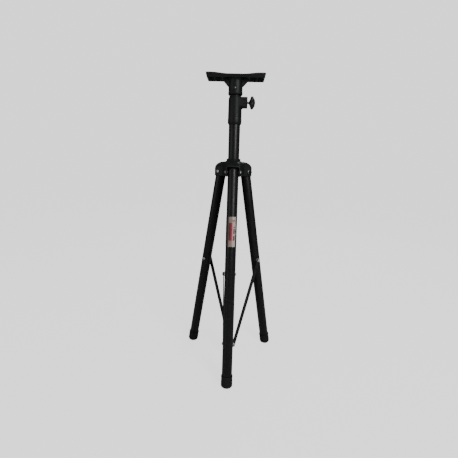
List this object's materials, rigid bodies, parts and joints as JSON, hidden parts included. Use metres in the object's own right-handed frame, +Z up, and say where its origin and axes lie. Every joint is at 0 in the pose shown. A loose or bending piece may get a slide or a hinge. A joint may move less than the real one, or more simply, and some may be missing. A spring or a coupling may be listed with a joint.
{
  "type": "speaker tripod stand",
  "caption": "Folding tripod stand for a loudspeaker: black steel tube with a clamped telescoping pole, a dished platform on top, tubular legs on a sliding hub, flat braces and rubber boots.",
  "frame": {"origin": "middle of the footprint of the three boots, on the floor; the tube stands 44.3 mm behind it, towards +Y", "axes": "+Z up along the tube, -Y towards the front leg, +X towards the clamp knob"},
  "size_m": [0.3464, 0.3054, 1.02],
  "materials": {
    "black_steel": "semi-gloss black powder coat on drawn steel tube and strip",
    "black_plastic": "fine-grained matt black glass-filled nylon moulding",
    "pale_nylon": "natural nylon, satin",
    "zinc": "bright zinc plate",
    "rubber": "soft matt black rubber",
    "label_film": "satin printed film, plain colour bands with no lettering"
  },
  "bodies": {
    "upright": {"main_tube": "black_steel", "bottom_block": "black_plastic", "block_cross_pin": "zinc", "foot_screw_front": "zinc", "foot_screw_right": "zinc", "foot_screw_left": "zinc", "clamp_sleeve": "black_plastic", "clamp_nut": "zinc", "clamp_pad": "pale_nylon"},
    "clamp_knob_body": {"clamp_knob": "black_plastic", "clamp_screw": "zinc"},
    "pole_body": {"pole": "black_steel", "pole_top_plug": "black_plastic", "pole_end_bush": "pale_nylon"},
    "head": {"head_plate": "black_plastic", "head_set_screw": "zinc"},
    "hub": {"hub_body": "black_plastic", "hub_lock_nut": "zinc", "hub_lock_pad": "pale_nylon", "pivot_bolt_front": "zinc", "pivot_bolt_right": "zinc", "pivot_bolt_left": "zinc", "pivot_nut_front": "zinc", "pivot_nut_right": "zinc", "pivot_nut_left": "zinc"},
    "hub_knob_body": {"hub_lock_knob": "black_plastic", "hub_lock_screw": "zinc"},
    "leg_front_body": {"leg_tube_front": "black_steel", "leg_plug_front": "black_plastic", "boot_front": "rubber", "leg_spacer_front": "pale_nylon", "brace_bolt_front": "zinc", "leg_label": "label_film"},
    "brace_front_body": {"brace_front": "black_steel", "brace_rivet_front": "zinc"},
    "leg_right_body": {"leg_tube_right": "black_steel", "leg_plug_right": "black_plastic", "boot_right": "rubber", "leg_spacer_right": "pale_nylon", "brace_bolt_right": "zinc"},
    "brace_right_body": {"brace_right": "black_steel", "brace_rivet_right": "zinc"},
    "leg_left_body": {"leg_tube_left": "black_steel", "leg_plug_left": "black_plastic", "boot_left": "rubber", "leg_spacer_left": "pale_nylon", "brace_bolt_left": "zinc"},
    "brace_left_body": {"brace_left": "black_steel", "brace_rivet_left": "zinc"}
  },
  "joints": [
    {"name": "hub_slide", "type": "slide", "parent": "upright", "child": "hub", "axis": [0, 0, -1], "range_m": [-0.0422, 0.0808]},
    {"name": "pole_slide", "type": "slide", "parent": "upright", "child": "pole_body", "axis": [0, 0, 1], "range_m": [0, 0.6]},
    {"name": "head_swivel", "type": "hinge", "parent": "pole_body", "child": "head", "pos_m": [0, 0.04429, 0.99], "axis": [0, 0, 1], "continuous": true},
    {"name": "clamp_knob_turn", "type": "hinge", "parent": "upright", "child": "clamp_knob_body", "pos_m": [0.05, 0.04429, 0.9366], "axis": [1, 0, 0], "range_deg": [0, 540]},
    {"name": "hub_knob_turn", "type": "hinge", "parent": "hub", "child": "hub_knob_body", "pos_m": [0, 0.09929, 0.7313], "axis": [0, 1, 0], "range_deg": [0, 540]},
    {"name": "leg_front_fold", "type": "hinge", "parent": "hub", "child": "leg_front_body", "pos_m": [0, -0.00431, 0.7143], "axis": [-1, 0, 0], "range_deg": [-10.4, 19.9]},
    {"name": "brace_front_fold", "type": "hinge", "parent": "upright", "child": "brace_front_body", "pos_m": [0, 0.03229, 0.0473], "axis": [1, 0, 0], "range_deg": [-10.5, 20.1]},
    {"name": "leg_right_fold", "type": "hinge", "parent": "hub", "child": "leg_right_body", "pos_m": [0.04209, 0.06859, 0.7143], "axis": [0.5, -0.866, 0], "range_deg": [-10.4, 19.9]},
    {"name": "brace_right_fold", "type": "hinge", "parent": "upright", "child": "brace_right_body", "pos_m": [0.01039, 0.05029, 0.0473], "axis": [-0.5, 0.866, 0], "range_deg": [-10.5, 20.1]},
    {"name": "leg_left_fold", "type": "hinge", "parent": "hub", "child": "leg_left_body", "pos_m": [-0.04209, 0.06859, 0.7143], "axis": [0.5, 0.866, 0], "range_deg": [-10.4, 19.9]},
    {"name": "brace_left_fold", "type": "hinge", "parent": "upright", "child": "brace_left_body", "pos_m": [-0.01039, 0.05029, 0.0473], "axis": [-0.5, -0.866, 0], "range_deg": [-10.5, 20.1]}
  ],
  "couplings": [
    {"joint": "leg_front_fold", "follows": "hub_slide", "rad_per_m": 4.257},
    {"joint": "brace_front_fold", "follows": "hub_slide", "rad_per_m": 4.3},
    {"joint": "leg_right_fold", "follows": "hub_slide", "rad_per_m": 4.257},
    {"joint": "brace_right_fold", "follows": "hub_slide", "rad_per_m": 4.3},
    {"joint": "leg_left_fold", "follows": "hub_slide", "rad_per_m": 4.257},
    {"joint": "brace_left_fold", "follows": "hub_slide", "rad_per_m": 4.3}
  ]
}
